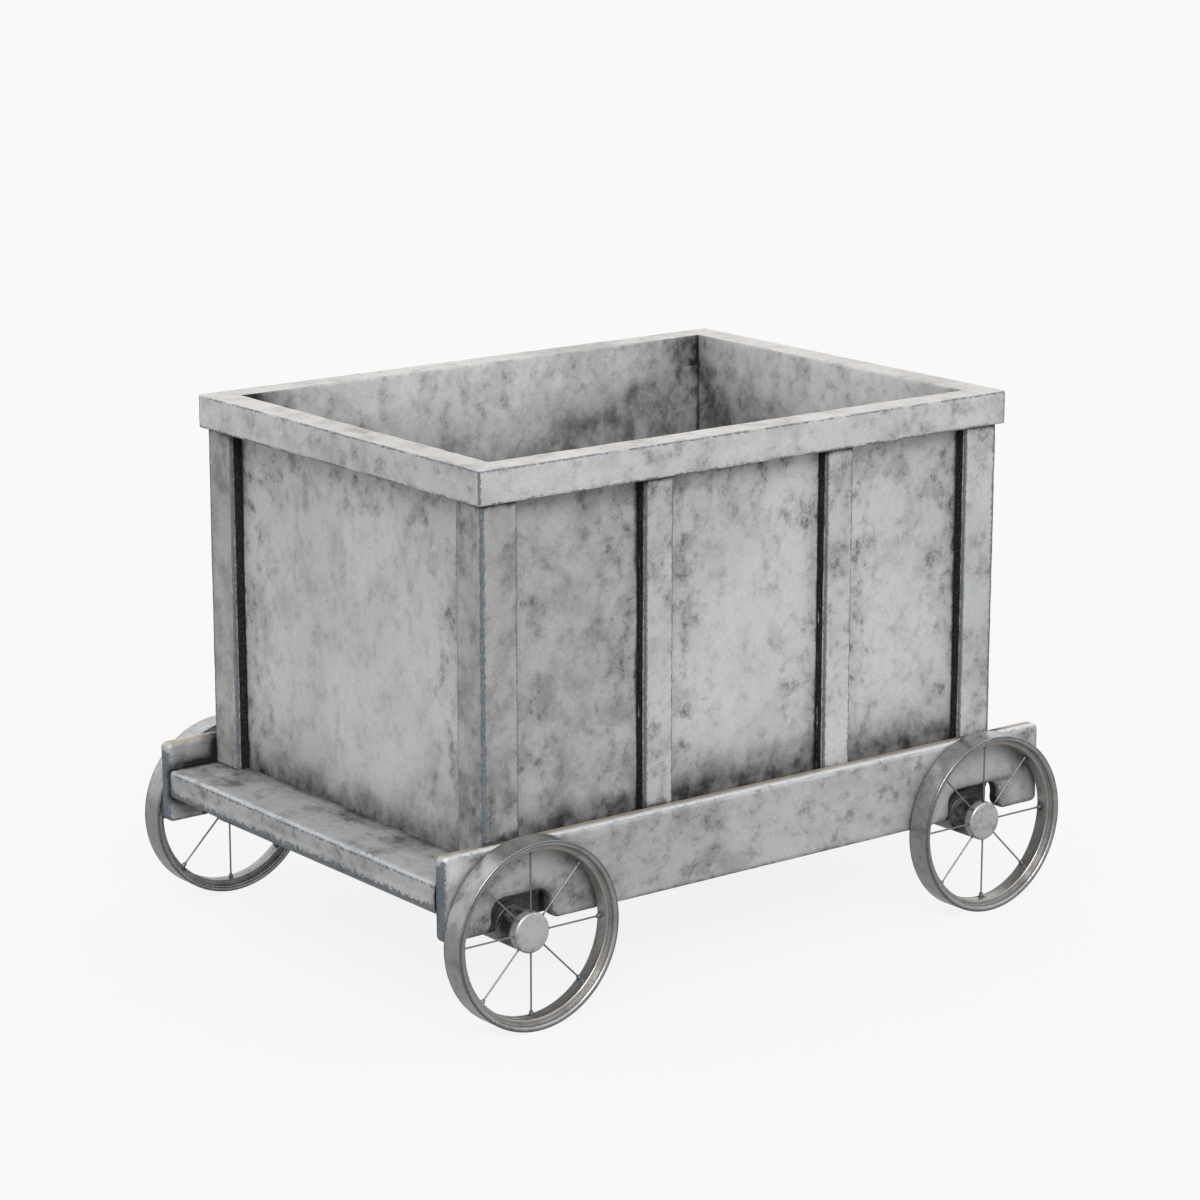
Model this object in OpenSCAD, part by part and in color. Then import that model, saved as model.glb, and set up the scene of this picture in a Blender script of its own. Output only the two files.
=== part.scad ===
/* Mine cart: a steel box bin on a plate-sided chassis with four wire-spoked wheels.

   The origin is on the ground under the middle of the cart. X runs along the cart with the
   front at +X, Y runs across it with the left at +Y, and Z is up. All lengths are millimetres.
   Each piece is drawn once, for the front or the left, and mirrored into its other places. */

/* [Bin] */
// Length of the bin over its corner posts
bin_length = 1176; // [1160:1:1180]
// Width of the bin over its corner posts
bin_width = 856; // [600:1:1100]
// Height of the bin walls, from the chassis to the rim
wall_height = 639; // [300:1:900]
// Thickness of the floor sheet
floor_thickness = 8; // [4:0.5:10]
// Thickness of each skin of the double-skinned walls
skin_thickness = 5; // [3:0.5:6]
// Width of each face of a corner post
post_width = 74; // [50:1:100]
// How far posts and battens stand out from the walls
post_depth = 25; // [20:1:30]
// Width of a side batten
batten_width = 60; // [40:1:90]
// Distance between the two battens of one side
batten_spacing = 414; // [300:1:600]

/* [Rim] */
// Height of the rim rails
rim_height = 62; // [40:1:90]
// Width of the rim rails across the ends
rim_end_width = 60; // [50:1:80]
// Width of the rim rails along the sides
rim_side_width = 54; // [45:1:80]
// How far the rim stands out past the posts at the ends
rim_end_overhang = 12; // [0:1:20]
// How far the rim stands out past the posts at the sides
rim_side_overhang = 11; // [0:1:20]

/* [Chassis] */
// Length of the side plates
chassis_length = 1384; // [1370:1:1500]
// Thickness of the side plates
plate_thickness = 30; // [15:1:30]
// Height of the side plates' lower edge above the ground
plate_bottom = 173; // [165:1:180]
// Height of the side plates
plate_height = 153; // [140:1:180]
// Height of the bin floor's underside above the ground
deck_height = 274; // [272:1:280]
// Depth of the end beams
end_beam_height = 54; // [40:1:60]
// Depth of the bolsters and floor bearers
bearer_height = 60; // [50:1:60]
// Width of an axle notch in a side plate
notch_width = 124; // [110:1:130]
// Height of an axle notch above the axle's centre
notch_rise = 61; // [55:1:65]

/* [Wheels] */
// Distance between the two axles
wheelbase = 1058; // [1040:1:1060]
// Radius of a wheel over its tread
wheel_radius = 169; // [165:1:172]
// Width of a wheel
wheel_width = 50; // [44:1:60]
// Number of spokes in a wheel
spoke_count = 8; // [4:1:12]
// Diameter of a wire spoke
spoke_diameter = 3.2; // [2:0.1:4]
// Radius of the hub's face
hub_radius = 36.4; // [35:0.1:38]

/* [Hidden] */
$fn = 96;
EPS = 1; // overshoot of a cut past the face it opens

// Names of the ends, sides and corners, with the signs that mirror a piece there
ENDS = [["front", 1], ["rear", -1]];
SIDES = [["left", 1], ["right", -1]];
CORNERS = [for (e = ENDS) for (s = SIDES) [str(e[0], "_", s[0]), e[1], s[1]]];

// Bin
bin_x = bin_length / 2;
bin_y = bin_width / 2;
wall_x = bin_x - post_depth;
wall_y = bin_y - post_depth;
wall_top = deck_height + wall_height;
post_wall = 8;
batten_wall = 8;

// Rim
rim_x = bin_x + rim_end_overhang;
rim_y = bin_y + rim_side_overhang;
inner_x = rim_x - rim_end_width;
inner_y = rim_y - rim_side_width;
rim_wall = 5;

// Chassis
plate_x = chassis_length / 2;
plate_corner = 12;
notch_corner = 24;
notch_flare = 20;
beam_setback = 2;
beam_x = plate_x - beam_setback;
beam_wall = 8;
bearer_wall = 8;
bearer_width = 60;
bearer_spacing = 340;
bearer_bottom = deck_height - bearer_height;
bolster_width = 116;

// Axles
axle_x = wheelbase / 2;
axle_z = wheel_radius;
axle_radius = 36;
axle_stand_out = 2;
axle_shoulder = bin_y + axle_stand_out;
spindle_radius = 20;
spindle_length = 40.3;
spindle_end = axle_shoulder + spindle_length;
stub_radius = 10;
stub_length = 11.7;
block_width = 116;
block_depth = 45;
block_drop = 6;
block_bottom = axle_z - block_drop;
block_gap = 3;
block_far = bin_y - block_gap;
block_near = block_far - block_depth;
boss_radius = 46;
boss_length = 4;
tie_bar_drop = 6;
tie_bar_top = bearer_bottom - tie_bar_drop;
tie_bar_height = 36;
tie_bar_thickness = 25;
tie_bar_setback = 5;
tie_bar_near = block_near + tie_bar_setback;

// Wheels
wheel_gap = 3;
wheel_inner = bin_y + plate_thickness + wheel_gap;
wheel_outer = wheel_inner + wheel_width;
lip_thickness = 9.5;
lip_depth = 11;
lip_taper = 0.5;
rim_depth = 19.5;
well_radius = wheel_radius - rim_depth;
nipple_radius = 4;
nipple_length = 9.5;
nipple_seat = 2.5;
spoke_setback = 29.5;
spoke_y = wheel_outer - spoke_setback;
spoke_hold = 7;

// Hubs
hub_clearance = 0.4;
hub_start = axle_shoulder + hub_clearance;
flange_behind_spokes = 9.5;
flange_start = spoke_y - flange_behind_spokes;
flange_before_spokes = 1.9;
cap_start = spoke_y + flange_before_spokes;
cap_thickness = 4;
cap_spigot = 4;
cap_spigot_wall = 4;
barrel_radius = 36;
bush_running_gap = 0.05;
bush_radius = 25;
bush_length = 16;
bush_setback = 1.6;
inner_bush_start = hub_start + bush_setback;
bush_shortfall = 0.3;
outer_bush_end = spindle_end - bush_shortfall;
cavity_radius = 27;
washer_radius = 24;
washer_thickness = 3;
nut_radius = 17;
nut_height = 8;

// ---------- Placing ----------

// Mirrors a piece drawn at the front end to the given end
module at_end(end) {
    mirror([end[1] < 0 ? 1 : 0, 0, 0]) children();
}

// Mirrors a piece drawn on the left side to the given side
module at_side(side) {
    mirror([0, side[1] < 0 ? 1 : 0, 0]) children();
}

// Mirrors a piece drawn at the front left corner to the given corner
module at_corner(corner) {
    mirror([corner[1] < 0 ? 1 : 0, 0, 0])
        mirror([0, corner[2] < 0 ? 1 : 0, 0]) children();
}

// Draws a piece at both ends
module on_both_ends() {
    for (e = ENDS) at_end(e) children();
}

// Draws a piece on both sides
module on_both_sides() {
    for (s = SIDES) at_side(s) children();
}

// Moves a piece drawn around the Y axis to the front axle
module on_axle() {
    translate([axle_x, 0, axle_z]) children();
}

// ---------- Shared shapes ----------

// A box given by its lowest and highest corners
module box(low, high) {
    translate(low) cube(high - low);
}

// A round bar along Y
module bar(radius, y_start, y_end) {
    translate([0, y_start, 0]) rotate([-90, 0, 0]) cylinder(r = radius, h = y_end - y_start);
}

// A round bar pointing away from the wheel's axis, in the plane of the spokes
module spoke_bar(angle, radius, r_start, r_end) {
    rotate([0, angle, 0]) translate([0, spoke_y, r_start])
        cylinder(r = radius, h = r_end - r_start);
}

// Repeats a piece at every spoke
module at_spokes() {
    for (i = [0 : spoke_count - 1]) {
        $angle = i * 360 / spoke_count;
        children();
    }
}

// A beam across the cart with an open underside, and end plates where they are asked for
module channel(x_centre, width, end_plate) {
    difference() {
        box([x_centre - width / 2, -bin_y, bearer_bottom], [x_centre + width / 2, bin_y, deck_height]);
        box([x_centre - width / 2 + bearer_wall, -bin_y + end_plate, bearer_bottom - EPS],
            [x_centre + width / 2 - bearer_wall, bin_y - end_plate, deck_height - bearer_wall]);
    }
}

// Outline of an angle whose outer corner is at the origin
module angle_outline(arm, depth) {
    translate([-arm, -depth]) square([arm, depth]);
    translate([-depth, -arm]) square([depth, arm]);
}

// ---------- Chassis ----------

// Outline of a side plate, with X along the cart and Y as its height above the lower edge
module plate_outline() {
    difference() {
        union() {
            translate([-plate_x, plate_corner])
                square([chassis_length, plate_height - 2 * plate_corner]);
            translate([plate_corner - plate_x, 0])
                square([chassis_length - 2 * plate_corner, plate_height]);
            for (x = [-1, 1], y = [plate_corner, plate_height - plate_corner])
                translate([x * (plate_x - plate_corner), y]) circle(r = plate_corner);
        }
        for (x = [-axle_x, axle_x]) translate([x, 0]) notch_outline();
    }
}

// Outline of an axle notch, with rounded top corners and a rounded flare at its mouth
module notch_outline() {
    half = notch_width / 2;
    top = axle_z + notch_rise - plate_bottom;
    translate([-half, -EPS]) square([notch_width, top - notch_corner + EPS]);
    translate([notch_corner - half, -EPS]) square([notch_width - 2 * notch_corner, top + EPS]);
    for (side = [-1, 1]) {
        translate([side * (half - notch_corner), top - notch_corner]) circle(r = notch_corner);
        difference() {
            translate([side * (half + notch_flare / 2) - notch_flare / 2, -EPS])
                square([notch_flare, notch_flare + EPS]);
            translate([side * (half + notch_flare), notch_flare]) circle(r = notch_flare);
        }
    }
}

module side_plate() {
    color("darkgray")
        translate([0, bin_y + plate_thickness, plate_bottom])
            rotate([90, 0, 0]) linear_extrude(plate_thickness) plate_outline();
}

// A rectangular tube between the side plates
module end_beam() {
    low = deck_height - end_beam_height;
    color("silver") difference() {
        box([bin_x, -bin_y, low], [beam_x, bin_y, deck_height]);
        box([bin_x + beam_wall, -bin_y - EPS, low + beam_wall],
            [beam_x - beam_wall, bin_y + EPS, deck_height - beam_wall]);
    }
}

module floor_bearer() {
    color("gray") channel(bearer_spacing / 2, bearer_width, 0);
}

module axle_bolster() {
    color("gray") channel(axle_x, bolster_width, bearer_wall);
}

// ---------- Bin ----------

module bin_floor() {
    color("darkgray")
        box([-inner_x, -inner_y, deck_height], [inner_x, inner_y, deck_height + floor_thickness]);
}

// A wall of two skins, open below and flush with the rim inside
module double_wall(low, high) {
    skin = skin_thickness;
    difference() {
        box([low.x, low.y, deck_height], [high.x, high.y, wall_top]);
        box([low.x + skin, low.y + skin, deck_height - EPS],
            [high.x - skin, high.y - skin, wall_top - skin]);
    }
}

module side_panel() {
    color("silver") double_wall([-wall_x, inner_y], [wall_x, wall_y]);
}

module end_panel() {
    color("silver") double_wall([inner_x, -inner_y], [wall_x, inner_y]);
}

// A folded corner section, open towards the walls
module corner_post() {
    color("lightgray")
        translate([bin_x, bin_y, deck_height]) linear_extrude(wall_height) difference() {
            angle_outline(post_width, post_depth);
            translate([-post_wall, -post_wall])
                angle_outline(post_width - 2 * post_wall, post_depth - post_wall + EPS);
        }
}

// A pressed channel, open towards the side panel
module side_batten() {
    x = (batten_spacing - batten_width) / 2;
    color("lightgray") difference() {
        box([x, wall_y, deck_height], [x + batten_width, bin_y, wall_top]);
        box([x + batten_wall, wall_y - EPS, deck_height - EPS],
            [x + batten_width - batten_wall, bin_y - batten_wall, wall_top + EPS]);
    }
}

// ---------- Rim ----------

// Outline of a rail along Y = outer, mitred so that its inner edge is shorter
module mitred_outline(half_length, outer, run, width, shrink) {
    slope = run / width;
    near = outer - width + shrink;
    far = outer - shrink;
    overshoot = shrink > 0 ? EPS : 0;
    near_x = half_length - run + shrink * slope + overshoot;
    far_x = half_length - shrink * slope + overshoot;
    polygon([[-near_x, near], [near_x, near], [far_x, far], [-far_x, far]]);
}

// A square tube with mitred open ends
module mitred_rail(half_length, outer, run, width) {
    translate([0, 0, wall_top]) difference() {
        linear_extrude(rim_height) mitred_outline(half_length, outer, run, width, 0);
        translate([0, 0, rim_wall]) linear_extrude(rim_height - 2 * rim_wall)
            mitred_outline(half_length, outer, run, width, rim_wall);
    }
}

module rim_side_rail() {
    color("gainsboro") mitred_rail(rim_x, rim_y, rim_end_width, rim_side_width);
}

module rim_end_rail() {
    color("gainsboro") rotate([0, 0, -90]) mitred_rail(rim_y, rim_x, rim_side_width, rim_end_width);
}

// ---------- Axles ----------

// The fixed axle: a thick bar with a turned spindle and a threaded stub at each end
module axle_beam() {
    color("dimgray") on_axle() {
        bar(axle_radius, -axle_shoulder, axle_shoulder);
        on_both_sides() {
            bar(spindle_radius, axle_shoulder - EPS, spindle_end);
            bar(stub_radius, spindle_end - EPS, spindle_end + stub_length);
        }
    }
}

// A cast block that carries one end of the axle under the bolster, with a half-round boss
module axle_block() {
    half = block_width / 2;
    top = bearer_bottom - axle_z;
    color("gray") on_axle() difference() {
        union() {
            box([-half, block_near, block_bottom - axle_z], [half, block_far, top]);
            intersection() {
                bar(boss_radius, block_far - EPS, block_far + boss_length);
                box([-boss_radius, block_far - 2 * EPS, 0],
                    [boss_radius, block_far + boss_length + EPS, top]);
            }
        }
        bar(axle_radius, block_near - EPS, block_far + boss_length + EPS);
    }
}

// A flat bar that keeps the two axle blocks of one side apart
module tie_bar() {
    half = axle_x - block_width / 2;
    color("gray")
        box([-half, tie_bar_near, tie_bar_top - tie_bar_height],
            [half, tie_bar_near + tie_bar_thickness, tie_bar_top]);
}

module thrust_washers() {
    color("goldenrod") on_both_ends() on_axle() on_both_sides() difference() {
        bar(washer_radius, spindle_end, spindle_end + washer_thickness);
        bar(stub_radius, spindle_end - EPS, spindle_end + washer_thickness + EPS);
    }
}

module axle_nuts() {
    start = spindle_end + washer_thickness;
    color("dimgray") on_both_ends() on_axle() on_both_sides() difference() {
        translate([0, start, 0]) rotate([-90, 0, 0]) cylinder(r = nut_radius, h = nut_height, $fn = 6);
        bar(stub_radius, start - EPS, start + nut_height + EPS);
    }
}

// ---------- Wheels ----------

// A rolled rim with a lip at each edge and a raised well between them
module wheel_rim() {
    lip_radius = wheel_radius - lip_thickness;
    color("darkgray") on_axle() difference() {
        rotate([-90, 0, 0]) rotate_extrude() polygon([
            [wheel_radius, wheel_inner], [wheel_radius, wheel_outer],
            [lip_radius, wheel_outer], [lip_radius - lip_taper, wheel_outer - lip_depth],
            [well_radius, wheel_outer - lip_depth], [well_radius, wheel_inner + lip_depth],
            [lip_radius - lip_taper, wheel_inner + lip_depth], [lip_radius, wheel_inner]
        ]);
        at_spokes() spoke_bar($angle, nipple_radius, well_radius - EPS, well_radius + nipple_seat);
    }
}

module wheel_spokes() {
    tip = well_radius + nipple_seat / 2;
    color("lightgray") on_axle() at_spokes()
        spoke_bar($angle, spoke_diameter / 2, hub_radius - spoke_hold, tip);
}

module spoke_nipples() {
    tip = well_radius + nipple_seat / 2;
    start = well_radius - nipple_length;
    color("silver") on_axle() at_spokes() difference() {
        spoke_bar($angle, nipple_radius, start, well_radius + nipple_seat);
        spoke_bar($angle, spoke_diameter / 2, start - EPS, tip);
    }
}

// The hub turns on two bushes and is hollow in front for the nut and the washer
module wheel_hub() {
    color("silver") on_axle() difference() {
        union() {
            bar(barrel_radius, hub_start, flange_start);
            bar(hub_radius, flange_start, cap_start);
        }
        bar(bush_radius, hub_start - EPS, outer_bush_end);
        bar(cavity_radius, outer_bush_end, cap_start + EPS);
        at_spokes() spoke_bar($angle, spoke_diameter / 2, hub_radius - spoke_hold, hub_radius + EPS);
    }
}

// A pressed-in cover with a rounded edge and a short spigot
module hub_cap() {
    flat_radius = hub_radius - cap_thickness;
    color("lightgray") on_axle() {
        translate([0, cap_start, 0]) rotate([-90, 0, 0]) rotate_extrude() {
            square([flat_radius, cap_thickness]);
            intersection() {
                translate([flat_radius, 0]) circle(r = cap_thickness);
                translate([flat_radius - EPS, 0]) square([cap_thickness + 2 * EPS, cap_thickness]);
            }
        }
        difference() {
            bar(cavity_radius, cap_start - cap_spigot, cap_start + EPS);
            bar(cavity_radius - cap_spigot_wall, cap_start - cap_spigot - EPS, cap_start);
        }
    }
}

module hub_bushes() {
    color("goldenrod") on_axle()
        for (start = [inner_bush_start, outer_bush_end - bush_length]) difference() {
            bar(bush_radius, start, start + bush_length);
            bar(spindle_radius + bush_running_gap, start - EPS, start + bush_length + EPS);
        }
}

// ---------- The cart ----------

bin_floor();
thrust_washers();
axle_nuts();

for (s = SIDES) {
    at_side(s) side_plate();
    at_side(s) side_panel();
    at_side(s) rim_side_rail();
    at_side(s) tie_bar();
}

for (e = ENDS) {
    at_end(e) end_beam();
    at_end(e) end_panel();
    at_end(e) rim_end_rail();
    at_end(e) floor_bearer();
    at_end(e) axle_bolster();
    at_end(e) axle_beam();
}

for (c = CORNERS) {
    at_corner(c) corner_post();
    at_corner(c) side_batten();
    at_corner(c) axle_block();
    at_corner(c) wheel_rim();
    at_corner(c) wheel_spokes();
    at_corner(c) spoke_nipples();
    at_corner(c) wheel_hub();
    at_corner(c) hub_cap();
    at_corner(c) hub_bushes();
}
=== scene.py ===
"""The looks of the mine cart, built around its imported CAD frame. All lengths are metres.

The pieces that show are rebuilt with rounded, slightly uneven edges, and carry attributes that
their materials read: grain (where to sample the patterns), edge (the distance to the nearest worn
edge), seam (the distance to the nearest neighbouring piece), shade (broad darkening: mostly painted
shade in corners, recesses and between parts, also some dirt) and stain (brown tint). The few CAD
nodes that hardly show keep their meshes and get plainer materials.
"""
import math

import bmesh
import bpy
import numpy as np
from mathutils import Matrix, Vector, noise


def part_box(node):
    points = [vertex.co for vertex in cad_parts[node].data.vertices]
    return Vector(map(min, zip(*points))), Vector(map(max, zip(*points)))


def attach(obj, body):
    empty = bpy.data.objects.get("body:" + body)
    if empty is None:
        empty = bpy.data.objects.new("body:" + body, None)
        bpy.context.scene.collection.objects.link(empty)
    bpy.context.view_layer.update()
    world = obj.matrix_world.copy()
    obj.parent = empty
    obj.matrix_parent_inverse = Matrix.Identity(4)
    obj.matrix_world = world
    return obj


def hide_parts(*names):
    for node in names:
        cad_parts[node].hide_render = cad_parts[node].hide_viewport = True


MM = 0.001
FAR = 0.2  # stands for "no edge or seam near here"
SEED = 11

SIDES = {"left": 1, "right": -1}
ENDS = {"front": 1, "rear": -1}
CORNERS = {f"{e}_{s}": (ENDS[e], SIDES[s]) for e in ENDS for s in SIDES}
WALLS = (("side", SIDES, 0), ("end", ENDS, 1))  # kind, names, and the axis that it runs along

# Meshes
RINGS = [1.5 * MM, 4 * MM, 8 * MM, 16 * MM, 30 * MM, 60 * MM]  # finer grid lines next to edges
CLOSEST = 0.8 * MM  # the least distance between two grid lines
ARC_STEPS = 4
SHARP_ANGLE = math.radians(50)
WORN_FROM = 1.2 * MM  # corners rounded by less than this show no wear
WEAR_DEPTH = 0.8 * MM  # how deeply the edges of posts, battens and rails are worn
DIAGONAL = 0.7  # the share of a worn corner's depth along each of its two faces

# Bin and rim
POST_ROUND = 2.5 * MM
BATTEN_ROUND = 2.2 * MM
SHEET_ROUND = 0.8 * MM
RAIL_ROUND = 2.5 * MM
MITRE_ROUND = 3 * MM  # the rounding where two rails meet
RAIL_TOP_WEAR = 5  # how many times narrower the wear is on a rail's top than on its outside
INNER_BAND = 6 * MM  # the part of a rail next to its inner face
INNER_DROP = 10 * MM  # and how far below the top that part starts to be squared

# Wear on the posts and battens
FRONT_WEAR = 2.2  # how many times narrower the wear is on a front face than on a side face
POST_CORNER_WEAR = 1.1
SIDE_DARK_TOP = 9 * MM  # the dark band on a side face ends this far short of the front edge
SIDE_DARK_RISE = 4.0  # how sharply it ends

# Chassis
PLATE_CORNER = 12 * MM
PLATE_BEVEL = 8 * MM
PLATE_WEAR = 1.3 * MM
PLATE_STEP = 12 * MM  # between the cuts that carry the masks across a plate's flat faces
PLATE_MARGIN = 14 * MM  # and how far from its edges they start
NOTCH_HALF = 62 * MM
NOTCH_RISE = 61 * MM
NOTCH_ROUND = 24 * MM
NOTCH_FLARE = 20 * MM
NOTCH_REACH = 95 * MM  # everything nearer to an axle than this belongs to its notch
LEDGE_DEPTH = 6 * MM  # a plate's top counts as a ledge from this far behind its outer face
LEDGE_HEIGHT = 12 * MM  # and this far down
BEAM_ROUND = 7 * MM
BEAM_WEAR = 1.6 * MM
CHANNEL_WALL = 8 * MM
CHANNEL_ROUND = 2 * MM
CHANNEL_OVERLAP = 1 * MM  # how far an end plate reaches into the channel's walls

# Broad darkening and tints: mostly painted shade in corners, recesses and between parts, also dirt,
# stains and a darkening towards the rear
INSIDE_SHADE = {"side": 2.2, "end": 1.3}
INSIDE_REACH = 0.14
INSIDE_DEPTH = 0.08
INSIDE_DARKEST = 0.74
BASE_SHADE = 0.88
BASE_REACH = {"side": 0.032, "end": 0.036}
PLATE_SHADE = 1.6
PLATE_REACH = 0.020
WHEEL_SHADE = 0.60
WHEEL_REACH = 0.014
TOP_STAIN = 0.35  # the warm tint on the rim's top
REAR_DARKENING = 0.40
REAR_FROM = 0.12  # how far behind the middle it starts
REAR_FULL = 0.32  # and how far behind it is full
NOTCH_SHADE = 0.9
END_PLATE_SHADE = 0.9
BEAM_GRIME = 0.18
LEDGE_SHADE = 0.85
LEDGE_REACH = 16 * MM
BEAM_SEAM_SHADE = 0.8
BEAM_SEAM_REACH = 14 * MM

# Camera
CAMERA_AZIMUTH = -37.72
CAMERA_ELEVATION = 13.72
CAMERA_DISTANCE = 6.943
CAMERA_TARGET = Vector((0.008, 0.0196, 0.5764))
CAMERA_LENS = 111.3
SENSOR = 36

# Studio
BACKDROP = 0.955  # the linear value of the pale backdrop
SKY_LOW = 1.00
SKY_HIGH = 1.30
SKY_COLOUR = (0.975, 0.985, 1.0, 1.0)
KEY_AZIMUTH = -29
KEY_ELEVATION = 40
KEY_SPREAD = 30
KEY_STRENGTH = 1.9
KEY_COLOUR = (1.0, 0.99, 0.97)
FLOOR_ALBEDO = 0.05
FLOOR_GLOW = 0.868  # what the floor adds towards the camera
FLOOR_BOUNCE = 0.45  # what it adds towards everything else

# Axles
AXLE_SHOULDER = 430 * MM  # from the middle of the cart
SPINDLE_LENGTH = 40.3 * MM
SPINDLE_RADIUS = 20 * MM
STUB_RADIUS = 10 * MM

# Wheels
LIP = 9.5 * MM
LIP_DEPTH = 11 * MM
LIP_TAPER = 0.5 * MM
WELL = 19.5 * MM
SPOKE_COUNT = 8
SPOKE_FOOT = 29.4 * MM
NIPPLE_LENGTH = 9.5 * MM
NIPPLE_NECK = 3 * MM
BARREL_RADIUS = 36 * MM
BORE_RADIUS = 25 * MM
FLANGE_LENGTH = 11.4 * MM
SPIGOT_RADIUS = 27 * MM
SPIGOT_WALL = 4 * MM
CAP_ROUND = 3.9 * MM
PIN_HOLE = 0.3 * MM  # the middle of a turned face stops just short of the axis
RIM_STEPS = 160
HUB_STEPS = 96
AXLE_STEPS = 72
HUB_SHADE = 0.92  # painted shade on the barrel behind the spokes
CAP_SHADE = 0.7  # painted shade round the lower edge of the cap
WELL_SHADE = 0.6  # painted shade inside the rim, towards the plate
GROOVE_SHADE = 0.6  # painted shade behind the lip
BEAD_STAIN = 0.8  # the warm tint along the foot of the lip

grain_offsets = {}


# ---------- Outlines and grids ----------

def ticks(low, high, radius=0.0, step=0.04, extra=()):
    """Grid lines between low and high: close together at the ends and around the extra places."""
    marks = [low, high]
    if radius:
        for share in (0.35, 0.7, 1.0):
            marks += [low + share * radius, high - share * radius]
    for ring in RINGS:
        marks += [low + radius + ring, high - radius - ring]
        for place in extra:
            marks += [place - ring, place + ring]
    marks += list(extra)
    count = max(1, round((high - low) / step))
    marks += list(np.linspace(low, high, count + 1))
    return spaced(marks, low, high)


def spaced(marks, low, high):
    """Sorts the marks, and leaves out those outside the range or on top of another."""
    kept = [low]
    for mark in sorted(marks):
        if kept[-1] + CLOSEST < mark < high - CLOSEST:
            kept.append(mark)
    return np.array(kept + [high])


def rounded_outline(points, radii, step=0.03, unworn=()):
    """A closed outline with its corners rounded, and each point's distance to a worn corner.

    A corner is worn unless its radius is under WORN_FROM or its number is among the unworn.
    """
    count = len(points)
    worn = [radii[i] > WORN_FROM and i not in unworn for i in range(count)]
    cuts = []
    for i in range(count):
        here = Vector(points[i])
        back = (Vector(points[i - 1]) - here).normalized()
        ahead = (Vector(points[(i + 1) % count]) - here).normalized()
        half = back.angle(ahead) / 2
        cuts.append((here, back, ahead, half, radii[i] / math.tan(half)))
    places = []
    edges = []
    for i in range(count):
        here, back, ahead, half, reach = cuts[i]
        if radii[i]:
            centre = here + (back + ahead).normalized() * radii[i] / math.sin(half)
            start = (here + back * reach - centre).normalized()
            stop = (here + ahead * reach - centre).normalized()
            for k in range(ARC_STEPS + 1):
                places.append(centre + radii[i] * start.slerp(stop, k / ARC_STEPS))
                edges.append(0.0 if worn[i] else FAR)
        else:
            places.append(here)
            edges.append(FAR)
        after = (i + 1) % count
        run = (cuts[after][0] - here).length - reach - cuts[after][4]
        for t in ticks(0, run, 0, step)[1:-1]:
            places.append(here + ahead * (reach + t))
            edges.append(min(t if worn[i] else FAR, run - t if worn[after] else FAR))
    return np.array([tuple(p) for p in places]), np.array(edges)


def uneven(points, edges, amount, size=0.03, reach=0.006):
    """How far each point is worn back: most along the edges, and by uneven amounts."""
    wobble = np.array([noise.noise(Vector(p) / size) for p in points])
    fine = np.array([noise.noise(Vector(p) / (size / 3)) for p in points])
    return amount * np.exp(-edges / reach) * (0.5 + wobble + 0.5 * fine)


# ---------- Solids ----------

def rounded_box(low, high, radius, axes=(0, 1, 2), step=0.04, extra=((), (), ()), wear=0.0):
    """A box rounded along the edges that lie between the given axes."""
    lines = [ticks(low[a], high[a], radius if a in axes else 0, step, extra[a]) for a in range(3)]
    index = {}
    faces = []
    for axis in range(3):
        u, v = [a for a in range(3) if a != axis]
        for end in (0, len(lines[axis]) - 1):
            ids = np.empty((len(lines[u]), len(lines[v])), int)
            for i in range(len(lines[u])):
                for j in range(len(lines[v])):
                    key = [0, 0, 0]
                    key[axis], key[u], key[v] = end, i, j
                    ids[i, j] = index.setdefault(tuple(key), len(index))
            quads = np.stack([ids[:-1, :-1], ids[1:, :-1], ids[1:, 1:], ids[:-1, 1:]], -1)
            faces += quads.reshape(-1, 4).tolist()
    keys = np.array(list(index))
    points = np.stack([lines[a][keys[:, a]] for a in range(3)], -1)
    low, high = np.array(low), np.array(high)
    gaps = np.minimum(points - low, high - points)
    edges = np.sort(gaps[:, list(axes)], 1)[:, 1]
    inner = points.copy()
    for a in axes:
        inner[:, a] = np.clip(points[:, a], low[a] + radius, high[a] - radius)
    out = points - inner
    length = np.maximum(np.linalg.norm(out, axis=1), 1e-9)
    reach = np.abs(out).max(1)
    normal = out / length[:, None]
    points = inner + normal * reach[:, None]
    if wear:
        points -= normal * np.maximum(uneven(points, edges, wear), 0)[:, None]
    return points, faces, edges


def strips(count, rings, loop=True, wrap=False):
    """The faces between rings of count points each.

    loop joins the last point of a ring to its first, and wrap the last ring to the first.
    """
    faces = []
    for k in range(rings if wrap else rings - 1):
        ahead = (k + 1) % rings
        for i in range(count if loop else count - 1):
            j = (i + 1) % count
            faces.append([k * count + i, k * count + j, ahead * count + j, ahead * count + i])
    return faces


def cap(count, number):
    """The points of one ring, as a face."""
    return [number * count + i for i in range(count)]


def sweep(outline, edges, levels, place):
    """A closed outline repeated at each level. place(outline, level) gives its points."""
    count = len(outline)
    points = np.concatenate([place(outline, level) for level in levels])
    faces = strips(count, len(levels)) + [cap(count, 0)[::-1], cap(count, len(levels) - 1)]
    return points, faces, np.tile(edges, len(levels))


def upright(shape, y):
    """An outline in X and Z, placed at y."""
    return np.column_stack([shape[:, 0], np.full(len(shape), y), shape[:, 1]])


def lathe(profile, edges, centre, steps, closed=True):
    """Turns a profile of (radius, y) points around the Y axis through centre."""
    angles = np.linspace(0, 2 * math.pi, steps, endpoint=False)
    radius, y = profile[:, 0], profile[:, 1]
    rings = [np.stack([centre[0] + radius * math.sin(a), y, centre[2] + radius * math.cos(a)], -1)
             for a in angles]
    count = len(profile)
    faces = strips(count, steps, loop=closed, wrap=True)
    if not closed:
        faces.append([k * count for k in range(steps)])
        faces.append([k * count + count - 1 for k in range(steps)][::-1])
    return np.concatenate(rings), faces, np.tile(edges, steps)


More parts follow.
